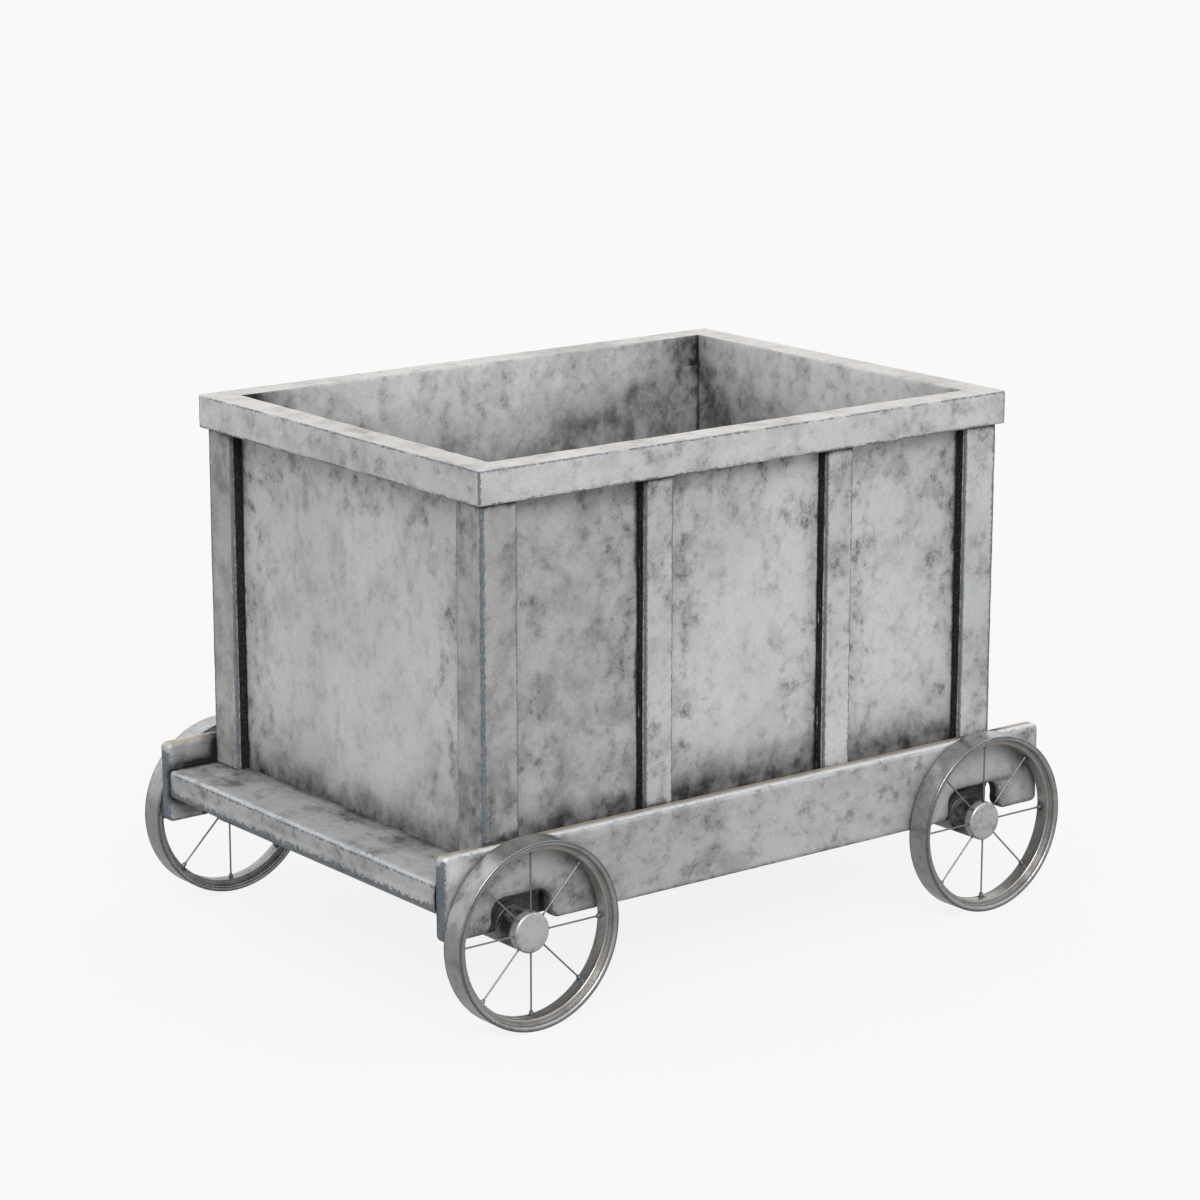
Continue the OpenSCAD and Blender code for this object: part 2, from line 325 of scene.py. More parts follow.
def join(*solids):
    """Several solids as one piece."""
    points = []
    faces = []
    edges = []
    start = 0
    for own_points, own_faces, own_edges in solids:
        points.append(own_points)
        edges.append(own_edges)
        faces += [[start + i for i in face] for face in own_faces]
        start += len(own_points)
    return np.concatenate(points), faces, np.concatenate(edges)


# ---------- Pieces ----------

def new_object(name, data):
    made = bpy.data.objects.new(name, data)
    bpy.context.scene.collection.objects.link(made)
    return made


def gap_to_boxes(points, boxes):
    """Each point's distance to the nearest of the boxes."""
    nearest = np.full(len(points), FAR)
    for low, high in boxes:
        outside = np.maximum(np.maximum(np.array(low) - points, points - np.array(high)), 0)
        nearest = np.minimum(nearest, np.linalg.norm(outside, axis=1))
    return nearest


def add_piece(name, solid, body, nodes, slot, material, neighbours=(), grain_from=None, **given):
    """Makes the object, with its attributes, puts it on its body and hides the CAD nodes it stands for.

    given may hold seam, shade and stain values. Pieces with the same grain_from share a pattern.
    """
    points, faces, edges = solid
    mesh = bpy.data.meshes.new(name)
    mesh.from_pydata([tuple(p) for p in points], [], faces)
    bm = bmesh.new()
    bm.from_mesh(mesh)
    bmesh.ops.recalc_face_normals(bm, faces=bm.faces)
    bm.to_mesh(mesh)
    bm.free()
    values = {"edge": edges, "seam": gap_to_boxes(points, neighbours)}
    values.update({kind: np.zeros(len(points)) for kind in ("shade", "stain")})
    values.update(given)
    for kind, numbers in values.items():
        mesh.attributes.new(kind, "FLOAT", "POINT").data.foreach_set("value", numbers)
    offset = grain_offsets.setdefault(grain_from or name, np.array(noise.random_unit_vector()) * 7)
    grain = mesh.attributes.new("grain", "FLOAT_VECTOR", "POINT")
    grain.data.foreach_set("vector", (points + offset).ravel())
    mesh.polygons.foreach_set("use_smooth", [True] * len(mesh.polygons))
    mesh.set_sharp_from_angle(angle=SHARP_ANGLE)
    mesh.materials.append(material)
    piece = new_object(name, mesh)
    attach(piece, body)
    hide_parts(*nodes)
    return piece


# ---------- Materials ----------

class Shader:
    """A small helper that adds nodes to a node tree and links them."""

    def __init__(self, owner):
        owner.use_nodes = True
        self.owner = owner
        self.tree = owner.node_tree

    def put(self, socket, value):
        if isinstance(value, bpy.types.NodeSocket):
            self.tree.links.new(value, socket)
        else:
            socket.default_value = value

    def finish(self, name, value):
        """Sets one of the surface's own inputs."""
        self.put(self.tree.nodes["Principled BSDF"].inputs[name], value)

    def node(self, kind, values=(), named=(), **settings):
        """Adds a node with its settings, and gives values to its first and its named inputs."""
        node = self.tree.nodes.new(f"ShaderNode{kind}")
        for name, setting in settings.items():
            setattr(node, name, setting)
        for socket, value in zip(node.inputs, values):
            self.put(socket, value)
        for name, value in dict(named).items():
            self.put(node.inputs[name], value)
        return node

    def attribute(self, name, output="Fac"):
        return self.node("Attribute", attribute_name=name).outputs[output]

    def math(self, operation, *values):
        return self.node("Math", values, operation=operation).outputs[0]

    def times(self, a, b):
        return self.math("MULTIPLY", a, b)

    def blend(self, a, b, c):
        """a * b + c"""
        return self.math("MULTIPLY_ADD", a, b, c)

    def stretch(self, vector, scale):
        return self.node("VectorMath", (vector, scale), operation="MULTIPLY").outputs[0]

    def noise(self, vector, scale, detail=5.0, roughness=0.55, distortion=0.0):
        named = {"Vector": vector, "Scale": scale, "Detail": detail, "Roughness": roughness,
                 "Distortion": distortion}
        return self.node("TexNoise", named=named).outputs[0]

    def ramp(self, value, low, high, start=0.0, stop=1.0):
        """A smooth step: start below low, stop above high."""
        values = (value, low, high, start, stop)
        return self.node("MapRange", values, interpolation_type="SMOOTHSTEP").outputs[0]

    def mix(self, share, a, b, blend="MIX"):
        node = self.node("Mix", (share,), data_type="RGBA", blend_type=blend)
        for socket, colour in zip([i for i in node.inputs if i.type == "RGBA"], (a, b)):
            self.put(socket, colour)
        return [o for o in node.outputs if o.type == "RGBA"][0]

    def bump(self, height, strength, distance):
        named = {"Height": height, "Strength": strength, "Distance": distance}
        return self.node("Bump", named=named).outputs["Normal"]


def grey(level, warmth=0.0):
    """A linear grey, made warmer or cooler."""
    return (level * (1 + warmth), level, level * (1 - warmth), 1.0)


BLUE_STEEL = (0.068, 0.090, 0.112, 1.0)
# worn steel, pale where it faces up: a painted highlight
WORN_HIGHLIGHT_STEEL = (0.60, 0.62, 0.64, 1.0)
# near-black for soot in the seams and for painted shade
SOOT_AND_SHADE = (0.010, 0.009, 0.008, 1.0)
TAN = (0.36, 0.295, 0.225, 1.0)


def aged_steel(name, light, dark, blotches=1.0, middle=0.9, stretch=(1.0, 1.0, 0.85),
               edge_width=4 * MM, edge_strength=0.9, ragged=0.4, pale=0.2, seam_width=6 * MM, tan=0.06,
               roughness=0.45, metallic=0.2, bump=0.25):
    """Aged zinc-grey steel: soft dark blotches, pits, blue worn edges and soot in the seams.

    Worn edges that face up turn pale as a painted highlight, and the shade attribute paints shade,
    with some dirt, towards near-black.
    """
    s = Shader(bpy.data.materials.new(name))
    grain = s.attribute("grain", "Vector")
    flow = s.stretch(grain, stretch)
    edge = s.attribute("edge")
    seam = s.attribute("seam")

    zones = s.noise(flow, 3.6, 3.0, 0.5, 0.3)
    cloud = s.noise(flow, 15.0, 9.0, 0.66, 0.1)
    mottle = s.noise(flow, 42.0, 7.0, 0.70, 0.1)
    fine = s.noise(grain, 210.0, 4.0, 0.65)
    pits = s.noise(grain, 300.0, 1.0, 0.5)

    colour = s.mix(s.ramp(zones, 0.36, 0.64), grey(light * 0.90, -0.004), grey(light * 1.04, 0.008))
    zone = s.ramp(zones, 0.62, 0.38, 0.50, 1.0)
    broad = s.times(s.ramp(cloud, 0.43, 0.65), zone)
    small = s.times(s.ramp(mottle, 0.47, 0.68), s.ramp(cloud, 0.40, 0.58, 0.40, 1.0))
    mask = s.blend(small, 0.62, s.times(broad, 0.56))
    mask = s.times(mask, s.ramp(fine, 0.32, 0.60, 0.60, 1.12))
    mask = s.times(mask, s.ramp(seam, 0.01, 0.15, 1.2 * blotches, middle * blotches))
    mask = s.math("MINIMUM", mask, 1.0)
    colour = s.mix(mask, colour, grey(dark, 0.02))
    grit = s.ramp(fine, 0.30, 0.70, 0.88, 1.06)
    colour = s.mix(1.0, colour, s.mix(grit, grey(0.0), grey(1.0)), "MULTIPLY")
    patina = s.ramp(s.noise(grain, 11.0, 4.0, 0.6), 0.45, 0.75, 0.0, tan)
    stain = s.math("MAXIMUM", patina, s.times(s.attribute("stain"), 0.8))
    colour = s.mix(stain, colour, TAN)
    pit = s.times(s.ramp(pits, 0.71, 0.77), s.ramp(cloud, 0.45, 0.60))
    colour = s.mix(s.times(pit, 0.7), colour, BLUE_STEEL)

    # painted shade, with some dirt, from the shade attribute, turning towards near-black
    shade_and_grime = s.times(s.attribute("shade"), s.ramp(cloud, 0.32, 0.66, 0.68, 1.12))
    shade_and_grime = s.math("MINIMUM", shade_and_grime, 0.97)
    colour = s.mix(shade_and_grime, colour, SOOT_AND_SHADE)

    bites = s.noise(grain, 110.0, 5.0, 0.7, 0.4)
    reach = s.times(s.ramp(bites, 0.34, 0.66, 1 - ragged, 1 + ragged), edge_width)
    worn = s.ramp(s.math("DIVIDE", edge, reach), 0.55, 1.15, edge_strength, 0.0)
    normal = s.node("NewGeometry").outputs["Normal"]
    upward = s.node("SeparateXYZ", (normal,)).outputs["Z"]
    steel = s.mix(s.ramp(fine, 0.35, 0.65, 0.0, 0.6), BLUE_STEEL, grey(0.20, -0.08))
    # worn edges that face up turn pale: a painted highlight
    steel = s.mix(s.ramp(upward, 0.20, 0.65, 0.0, pale), steel, WORN_HIGHLIGHT_STEEL)
    colour = s.mix(worn, colour, steel)

    soot_reach = s.times(s.ramp(zones, 0.38, 0.62, 2.2, 0.6), seam_width)
    soot_reach = s.times(s.ramp(mottle, 0.30, 0.70, 0.5, 1.5), soot_reach)
    soot = s.ramp(s.math("DIVIDE", seam, soot_reach), 0.0, 1.1, 1.0, 0.0)
    soot = s.times(soot, s.ramp(fine, 0.30, 0.60, 0.92, 1.0))
    colour = s.mix(soot, colour, SOOT_AND_SHADE)

    dull = s.math("MAXIMUM", soot, shade_and_grime)
    s.finish("Base Color", colour)
    s.finish("Metallic", s.blend(dull, -metallic, metallic))
    s.finish("Specular IOR Level", s.blend(dull, -0.4, 0.5))
    rough = s.blend(mask, 0.15, roughness)
    rough = s.math("ADD", rough, s.ramp(fine, 0.3, 0.7, -0.05, 0.06))
    rough = s.blend(worn, -0.08, rough)
    rough = s.blend(dull, 0.30, rough)
    s.finish("Roughness", rough)
    height = s.blend(fine, 0.4, s.times(mottle, 0.7))
    height = s.blend(worn, -0.35, height)
    height = s.blend(pit, -0.6, height)
    s.finish("Normal", s.bump(height, bump, 1.2 * MM))
    return s.owner


def cad_steel(name, light, warmth=0.0, roughness=0.5, metallic=0.6):
    """A plainer finish for CAD nodes that are mostly hidden. Their edges come from a bevel test."""
    s = Shader(bpy.data.materials.new(name))
    place = s.node("TexCoord").outputs["Object"]
    spots = s.noise(place, 24.0, 6.0, 0.62, 0.25)
    fine = s.noise(place, 130.0, 5.0, 0.65)
    colour = s.mix(s.ramp(spots, 0.38, 0.66), grey(light, warmth), grey(light * 0.5, warmth))
    colour = s.mix(s.ramp(fine, 0.45, 0.75, 0.0, 0.4), colour, grey(light * 0.3))
    bevel = s.node("Bevel", named={"Radius": 3 * MM}, samples=4)
    normals = (bevel.outputs[0], s.node("NewGeometry").outputs["Normal"])
    turn = s.node("VectorMath", normals, operation="DOT_PRODUCT")
    worn = s.ramp(turn.outputs["Value"], 0.85, 0.97, 0.7, 0.0)
    colour = s.mix(worn, colour, grey(light * 1.4, -0.06))
    s.finish("Base Color", colour)
    s.finish("Metallic", metallic)
    s.finish("Roughness", s.ramp(fine, 0.3, 0.7, roughness - 0.07, roughness + 0.1))
    s.finish("Normal", s.bump(s.math("ADD", spots, fine), 0.3, MM))
    return s.owner


# ---------- Bin ----------

def node_box(name):
    low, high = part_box(name)
    return np.array(low), np.array(high)


def wheel_centre(corner):
    low, high = node_box(f"wheel_rim_{corner}")
    return (low + high) / 2


def post_boxes(corner, depth):
    """The two legs of an angle-shaped corner post, as boxes."""
    end, side = CORNERS[corner]
    legs = []
    for axis, sign in ((1, side), (0, end)):
        low, high = node_box(f"corner_post_{corner}")
        if sign > 0:
            low[axis] = high[axis] - depth
        else:
            high[axis] = low[axis] + depth
        legs.append((low, high))
    return legs


def frame_wear(along, inwards, width):
    """Edge and seam values for a post's leg or a batten.

    along runs across its front face from a worn edge, inwards runs down its side faces. The side
    faces are worn next to the front edge and dark below, and the front face is worn
    only in a thin line.
    """
    on_side = along > width - 0.4 * MM
    edges = np.where(on_side, inwards, (width - along) * FRONT_WEAR)
    seams = np.where(on_side, (SIDE_DARK_TOP - inwards) * SIDE_DARK_RISE, FAR)
    return edges, np.clip(seams, 0, FAR)


def rear_darkening(points):
    """The darkening on the sides of the bin, which grows towards the rear."""
    return REAR_DARKENING * np.clip((-points[:, 0] - REAR_FROM) / (REAR_FULL - REAR_FROM), 0, 1)


def build_posts(depth, material, neighbours):
    for corner, (end, side) in CORNERS.items():
        node = f"corner_post_{corner}"
        low, high = node_box(node)
        arm = high[0] - low[0]
        outer = np.array([high[0] if end > 0 else low[0], high[1] if side > 0 else low[1]])
        points = [(0, 0), (-arm, 0), (-arm, -depth), (-depth, -depth), (-depth, -arm), (0, -arm)]
        rounds = [POST_ROUND, POST_ROUND, 0, 0, 0, POST_ROUND]
        outline, found = rounded_outline(points, rounds, 0.015)
        levels = ticks(low[2], high[2], 0, 0.02)

        def place(shape, z):
            spots = np.column_stack([outer[0] + end * shape[:, 0], outer[1] + side * shape[:, 1],
                                     np.full(len(shape), z)])
            back = DIAGONAL * np.maximum(uneven(spots, found, WEAR_DEPTH), 0)
            spots[:, 0] -= end * back
            spots[:, 1] -= side * back
            return spots

        points, faces, _ = sweep(outline, found, levels, place)
        inward_x = np.tile(-outline[:, 0], len(levels))
        inward_y = np.tile(-outline[:, 1], len(levels))
        along = np.maximum(inward_x, inward_y)
        inwards = np.minimum(inward_x, inward_y)
        edges, seams = frame_wear(along, inwards, arm)
        edges = np.where(inwards < POST_ROUND, np.minimum(edges, along * POST_CORNER_WEAR), edges)
        seams = np.minimum(seams, gap_to_boxes(points, neighbours))
        add_piece(f"post_{corner}", (points, faces, edges), "chassis", [node], "frame_steel",
                  material, seam=seams, shade=rear_darkening(points))


def build_battens(material, neighbours):
    for corner, (_, side) in CORNERS.items():
        node = f"side_batten_{corner}"
        low, high = node_box(node)
        points, faces, _ = rounded_box(low, high, BATTEN_ROUND, (0, 1), 0.015, wear=WEAR_DEPTH)
        along = np.abs(points[:, 0] - (low[0] + high[0]) / 2)
        front = high[1] if side > 0 else low[1]
        edges, seams = frame_wear(along, np.abs(front - points[:, 1]), (high[0] - low[0]) / 2)
        seams = np.minimum(seams, gap_to_boxes(points, neighbours))
        add_piece(f"batten_{corner}", (points, faces, edges), "chassis", [node], "frame_steel",
                  material, seam=seams, shade=0.5 * rear_darkening(points))


def paint_inside(piece, material, across, sign):
    """Gives the faces that look into the bin a material of their own: a lighter copy, as painted light.
    """
    piece.data.materials.append(material)
    for face in piece.data.polygons:
        face.material_index = int(sign * face.normal[across] < -0.8)


def build_panels(depth, material, inner_painted_light_material, uprights, chassis, marks):
    """The walls. Outside, painted shade lies above the chassis; inside, painted shade lies in the
    corners.
    """
    for kind, names, along in WALLS:
        across = 1 - along
        corner = node_box("bin_floor")[1][along]
        for name, sign in names.items():
            node = f"{kind}_panel_{name}"
            low, high = node_box(node)
            points, faces, _ = rounded_box(low, high, SHEET_ROUND, step=0.03, extra=marks[kind])
            inside = sign * points[:, across] < sign * (low[across] + high[across]) / 2
            corner_gap = np.maximum(corner - np.abs(points[:, along]), 0)
            base_gap = np.maximum(gap_to_boxes(points, chassis) - depth, 0)
            seams = np.where(inside, corner_gap * 1.5, gap_to_boxes(points, uprights))
            deep = 1 - np.exp(-(high[2] - points[:, 2]) / INSIDE_DEPTH)
            reach = INSIDE_REACH * (1 + 2 * deep)
            # painted shade: inside, towards the corners and further below the top; outside, above the
            # chassis
            inner_shade = INSIDE_SHADE[kind] * np.exp(-corner_gap / reach) * (0.5 + deep / 2)
            outer_shade = BASE_SHADE * np.exp(-base_gap / BASE_REACH[kind])
            if kind == "side":
                outer_shade = np.maximum(outer_shade, rear_darkening(points))
            shade = np.where(inside, np.minimum(inner_shade, INSIDE_DARKEST), outer_shade)
            top_inside = inside & (points[:, 2] > high[2] - MM)
            points[top_inside, across] = sign * min(abs(low[across]), abs(high[across]))
            piece = add_piece(f"{kind}_sheet_{name}", (points, faces, np.full(len(points), FAR)),
                              "chassis", [node], "wall_sheet", material,
                              grain_from=f"{kind}_{name}", seam=seams, shade=shade)
            paint_inside(piece, inner_painted_light_material, across, sign)


def mitred_rail(low, high, along, sign, slope):
    """A rail along the given axis, mitred at its ends, with its inner face square to the wall.

    Returns the solid and each point's distance inwards from the rail's outer face.
    """
    across = 1 - along
    half = high[along]
    width = high[across] - low[across]
    outer = high[across] if sign > 0 else low[across]
    points, faces, edges = rounded_box(low, high, RAIL_ROUND, (across, 2), 0.02, wear=WEAR_DEPTH)
    inward = sign * (outer - points[:, across])
    to_end = half - np.abs(points[:, along])
    on_face = inward < 0.5 * MM
    edges = np.where(on_face, np.minimum(edges, to_end), edges * RAIL_TOP_WEAR)

    squared = (inward > width - INNER_BAND) & (high[2] - points[:, 2] > INNER_DROP)
    points[:, 2] = np.where(squared & (points[:, 2] < low[2] + INNER_BAND / 2), low[2], points[:, 2])
    flush = squared & (inward > width - INNER_BAND / 2)
    points[:, across] = np.where(flush, outer - sign * width, points[:, across])
    edges = np.where(squared, FAR, edges)

    turn = np.clip(1 - to_end / MITRE_ROUND, 0, 1) * math.pi / 4
    near_face = np.clip(1 - inward / MITRE_ROUND, 0, 1)
    points[:, across] -= sign * MITRE_ROUND * (1 - np.cos(turn)) * near_face
    points[:, along] *= (half - inward * slope) / half
    points[:, along] -= (np.sign(points[:, along]) * near_face * (turn > 0)
                         * (MITRE_ROUND * (1 - np.sin(turn)) - to_end))
    return (points, faces, edges), inward


def build_rim(material, inner_painted_light_material):
    """Four rails whose ends are drawn back to the mitre. Their inner faces go on into the walls."""
    for kind, names, along in WALLS:
        across = 1 - along
        other = node_box("rim_end_rail_front" if kind == "side" else "rim_side_rail_left")
        for name, sign in names.items():
            node = f"rim_{kind}_rail_{name}"
            low, high = node_box(node)
            width = high[across] - low[across]
            slope = (other[1][along] - other[0][along]) / width
            solid, inward = mitred_rail(low, high, along, sign, slope)
            points = solid[0]
            corner_gap = np.maximum(high[along] - width * slope - np.abs(points[:, along]), 0)
            at_inside = inward > width - MM
            seams = np.where(at_inside, corner_gap * 1.5 + 3 * MM, FAR)
            # painted shade in the inside corners
            shade = 0.5 * INSIDE_SHADE[kind] * np.exp(-corner_gap / INSIDE_REACH) * at_inside
            stain = TOP_STAIN * np.exp(-(high[2] - points[:, 2]) / MM)
            piece = add_piece(f"rail_{kind}_{name}", solid, "chassis", [node], "frame_steel",
                              material, grain_from=f"{kind}_{name}", seam=seams, shade=shade,
                              stain=stain)
            paint_inside(piece, inner_painted_light_material, across, sign)


# ---------- Chassis ----------

def plate_outline(inset, low, high, axle_x, axle_z):
    """The side plate's outline in X and Z, moved inwards by inset. Every inset has as many points.

    It is a list of arcs, given as centre, radius and angles, which are joined by straight runs.
    """
    left, right = low[0] + PLATE_CORNER, high[0] - PLATE_CORNER
    bottom, top = low[2] + PLATE_CORNER, high[2] - PLATE_CORNER
    corner = PLATE_CORNER - inset
    arcs = [(left, top, corner, 180, 90), (right, top, corner, 90, 0), (right, bottom, corner, 0, -90)]
    wide = NOTCH_HALF + NOTCH_FLARE
    narrow = NOTCH_HALF - NOTCH_ROUND
    mouth = low[2] + NOTCH_FLARE
    ceiling = axle_z + NOTCH_RISE - NOTCH_ROUND
    for centre in (axle_x, -axle_x):
        arcs += [
            (centre + wide, mouth, NOTCH_FLARE - inset, -90, -180),
            (centre + narrow, ceiling, NOTCH_ROUND + inset, 0, 90),
            (centre - narrow, ceiling, NOTCH_ROUND + inset, 90, 180),
            (centre - wide, mouth, NOTCH_FLARE - inset, 0, -90),
        ]
    arcs.append((left, bottom, corner, -90, -180))

    curves = []
    for x, z, radius, start, stop in arcs:
        angles = np.radians(np.linspace(start, stop, 7))
        curves.append(np.column_stack([x + radius * np.cos(angles), z + radius * np.sin(angles)]))
    points = []
    for curve, after in zip(curves, curves[1:] + curves[:1]):
        run = after[0] - curve[-1]
        count = max(2, round(np.hypot(*run) / 0.015))
        shares = np.arange(1, count) / count
        points += [curve, curve[-1] + np.outer(shares, run)]
    return np.concatenate(points)


def cut_solid(points, faces, cuts):
    """Adds points along cutting planes, given as (axis, place), so that attributes can vary."""
    bm = bmesh.new()
    corners = [bm.verts.new(p) for p in points]
    for face in faces:
        bm.faces.new([corners[i] for i in face])
    for axis, place in cuts:
        spot = [0, 0, 0]
        normal = [0, 0, 0]
        spot[axis] = place
        normal[axis] = 1
        geometry = bm.verts[:] + bm.edges[:] + bm.faces[:]
        bmesh.ops.bisect_plane(bm, geom=geometry, dist=1e-6, plane_co=spot, plane_no=normal)
    bm.verts.index_update()
    found = np.array([tuple(v.co) for v in bm.verts])
    pieces = [[v.index for v in f.verts] for f in bm.faces]
    bm.free()
    return found, pieces


def gap_to_curve(points, curve):
    """Each point's distance to a closed curve, which is given by its corners."""
    gaps = np.full(len(points), FAR)
    for start, stop in zip(curve, np.roll(curve, -1, axis=0)):
        run = stop - start
        share = np.clip((points - start) @ run / max(run @ run, 1e-12), 0, 1)
        gaps = np.minimum(gaps, np.linalg.norm(points - start - np.outer(share, run), axis=1))
    return gaps


def plate_solid(low, high, sign, axle_x, axle_z):
    """A side plate with a bevel round its faces and in its notches.

    Returns its points and faces, and the outline that its worn edges follow.
    """
    thick = high[1] - low[1]
    loops = [(11.5 * MM, 0.0, FAR), (9.5 * MM, 0.0, 4 * MM)]  # inset, depth, distance to the edge
    for k in range(6):
        angle = math.radians(90 * k / 5)
        loops.append((PLATE_BEVEL * (1 - math.sin(angle)), PLATE_BEVEL * (1 - math.cos(angle)), 0.0))
    middle = (0.0, thick / 2, thick / 2 - PLATE_BEVEL)
    loops = loops + [middle] + [(i, thick - d, e) for i, d, e in loops[::-1]]
    outer = high[1] if sign > 0 else low[1]
    outlines = [plate_outline(inset, low, high, axle_x, axle_z) for inset, _, _ in loops]
    count = len(outlines[0])
    points = []
    for (_, depth, edge), shape in zip(loops, outlines):
        spots = upright(shape, outer - sign * depth)
        bite = np.maximum(uneven(spots, np.full(count, edge), PLATE_WEAR), 0)
        spots[:, 1] -= sign * bite * (1 if depth < thick / 2 else -1) * (edge < 2 * MM)
        points.append(spots)
    faces = strips(count, len(loops)) + [cap(count, 0), cap(count, len(loops) - 1)[::-1]]
    cuts = []
    for axis in (0, 2):
        places = np.arange(low[axis] + PLATE_MARGIN, high[axis] - PLATE_MARGIN + MM, PLATE_STEP)
        cuts += [(axis, place) for place in places]
    points, faces = cut_solid(np.concatenate(points), faces, cuts)
    return points, faces, outlines[-1 - len(loops) // 2]


def build_side_plates(material, neighbours):
    """The plates are worn along their edges, and carry painted shade in their notches, behind the
    wheels and next to the beams and posts.
    """
    axle_x, _, axle_z = wheel_centre("front_left")
    rim_low, rim_high = node_box("wheel_rim_front_left")
    wheel_radius = (rim_high[2] - rim_low[2]) / 2
    for side, sign in SIDES.items():
        node = f"side_plate_{side}"
        low, high = node_box(node)
        points, faces, curve = plate_solid(low, high, sign, axle_x, axle_z)
        from_curve = gap_to_curve(points[:, [0, 2]], curve)
        deep = np.abs((high[1] if sign > 0 else low[1]) - points[:, 1])
        from_top = high[2] - points[:, 2]
        from_axle = np.hypot(np.abs(points[:, 0]) - axle_x, points[:, 2] - axle_z)
        in_notch = (from_axle < NOTCH_REACH) & (deep > MM)

        ledge = from_curve * 1.3 + np.maximum(deep - LEDGE_DEPTH, 0)
        edges = np.where(from_top < LEDGE_HEIGHT, ledge, from_curve)
        edges = np.where(in_notch, edges + np.maximum(deep - 3 * MM, 0), edges)
        stain = 1.2 * np.exp(-from_top / (3 * MM)) * (deep > LEDGE_DEPTH)
        seams = gap_to_boxes(points, neighbours)
        # painted shade next to the beams and posts, behind the wheel's rim, round the notch mouth and
        # inside the notch
        shade = np.minimum(PLATE_SHADE * np.exp(-seams / PLATE_REACH), 1)
        behind_rim = np.exp(-np.abs(from_axle - wheel_radius + 6 * MM) / WHEEL_REACH)
        mouth = (from_axle < NOTCH_REACH) * np.exp(-from_curve / WHEEL_REACH)
        shade = np.where(deep < MM, WHEEL_SHADE * np.maximum(behind_rim, mouth), shade)
        shade = np.where(in_notch, NOTCH_SHADE * np.clip(1.5 * deep / PLATE_BEVEL, 0, 1), shade)
        add_piece(f"plate_{side}", (points, faces, edges), "chassis", [node], "chassis_steel",
                  material, seam=seams, shade=shade, stain=stain)


def ledge_shade(points, end):
    """Dirt on the ledge in front of an end wall, with painted shade that deepens towards the wall."""
    low, high = node_box(f"end_panel_{end}")
    wall = max(abs(low[0]), abs(high[0]))
    from_wall = np.abs(np.abs(points[:, 0]) - wall)
    return BEAM_GRIME + LEDGE_SHADE * np.exp(-from_wall / LEDGE_REACH)


def build_end_beams(material, neighbours):
    """Tubes whose two front edges are rounded and worn."""
    for end, sign in ENDS.items():
        node = f"end_beam_{end}"
        low, high = node_box(node)
        middle = (low[2] + high[2]) / 2
        near, far = (low[0], high[0]) if sign > 0 else (high[0], low[0])
        points = [(far, high[2]), (near, high[2]), (near, low[2]), (far, low[2])]
        outline, found = rounded_outline(points, [BEAM_ROUND, 0, 0, BEAM_ROUND], 0.02)
        levels = ticks(low[1], high[1], 0, 0.006)

        def place(shape, y):
            spots = upright(shape, y)
            back = DIAGONAL * np.maximum(uneven(spots, found, BEAM_WEAR), 0)
            spots[:, 0] -= sign * back
            spots[:, 2] += np.where(spots[:, 2] > middle, -back, back)
            return spots

        points, faces, edges = sweep(outline, found, levels, place)
        upper = points[:, 2] > middle
        edges = np.where(upper, edges * 1.6 + 3 * MM, edges * 0.7)
        edges = np.where(np.abs(points[:, 0] - near) < 12 * MM, FAR, edges)
        shade = np.where(upper, ledge_shade(points, end), 0.0)
        # painted shade where the beam meets the plates and end walls
        by_seam = np.exp(-gap_to_boxes(points, neighbours) / BEAM_SEAM_REACH)
        shade = np.maximum(shade, BEAM_SEAM_SHADE * by_seam)
        add_piece(f"beam_{end}", (points, faces, edges), "chassis", [node], "chassis_steel",
                  material, neighbours, shade=np.clip(shade, 0, 1))


def build_channels(material, ledge_material):
    """The open-bottomed channels across the cart. Only their lower edges are worn.

    The bolsters' tops go on from the end beams' tops, so they share their look, and their ends
    are closed by plates whose painted shade makes them dark surfaces in the notches.
    """
    wall = CHANNEL_WALL
    radii = [CHANNEL_ROUND, 0, 0] + [CHANNEL_ROUND] * 5
    for kind, short in (("axle_bolster", "bolster"), ("floor_bearer", "bearer")):
        for end in ENDS:
            node = f"{kind}_{end}"
            low, high = node_box(node)
            x0, x1, z0, z1 = low[0], high[0], low[2], high[2]
            points = [(x0, z0), (x0, z1), (x1, z1), (x1, z0), (x1 - wall, z0),
                      (x1 - wall, z1 - wall), (x0 + wall, z1 - wall), (x0 + wall, z0)]
            outline, edges = rounded_outline(points, radii, 0.02)
            solid = sweep(outline, edges, ticks(low[1], high[1], 0, 0.03), upright)
            shade = ledge_shade(solid[0], end)
            if kind == "axle_bolster":
                inset = wall - CHANNEL_OVERLAP
                for y in (low[1], high[1] - wall):
                    corners = (x0 + inset, y, z0), (x1 - inset, y + wall, z1 - inset)
                    plate, faces, _ = rounded_box(*corners, 0.5 * MM)
                    solid = join(solid, (plate, faces, np.full(len(plate), FAR)))
                    shade = np.append(shade, np.full(len(plate), END_PLATE_SHADE))
            piece = add_piece(f"{short}_{end}", solid, "chassis", [node], "underframe_steel",
                              material, grain_from=f"beam_{end}", shade=shade)
            piece.data.materials.append(ledge_material)
            for face in piece.data.polygons:
                face.material_index = int(face.normal.z > 0.8)


def build_floor(material, neighbours):
    low, high = node_box("bin_floor")
    solid = rounded_box(low, high, SHEET_ROUND, step=0.06)
    add_piece("floor_sheet", solid, "chassis", ["bin_floor"], "floor_sheet", material, neighbours)


# ---------- Axles and wheels ----------

def turned(points, radii, centre, steps, sign=1, unworn=(), step=0.02):
    """A turned piece. The points are (radius, distance out along Y); sign mirrors it."""
    outline, edges = rounded_outline(points, radii, step, unworn)
    outline[:, 1] *= sign
    return lathe(outline, edges, centre, steps)


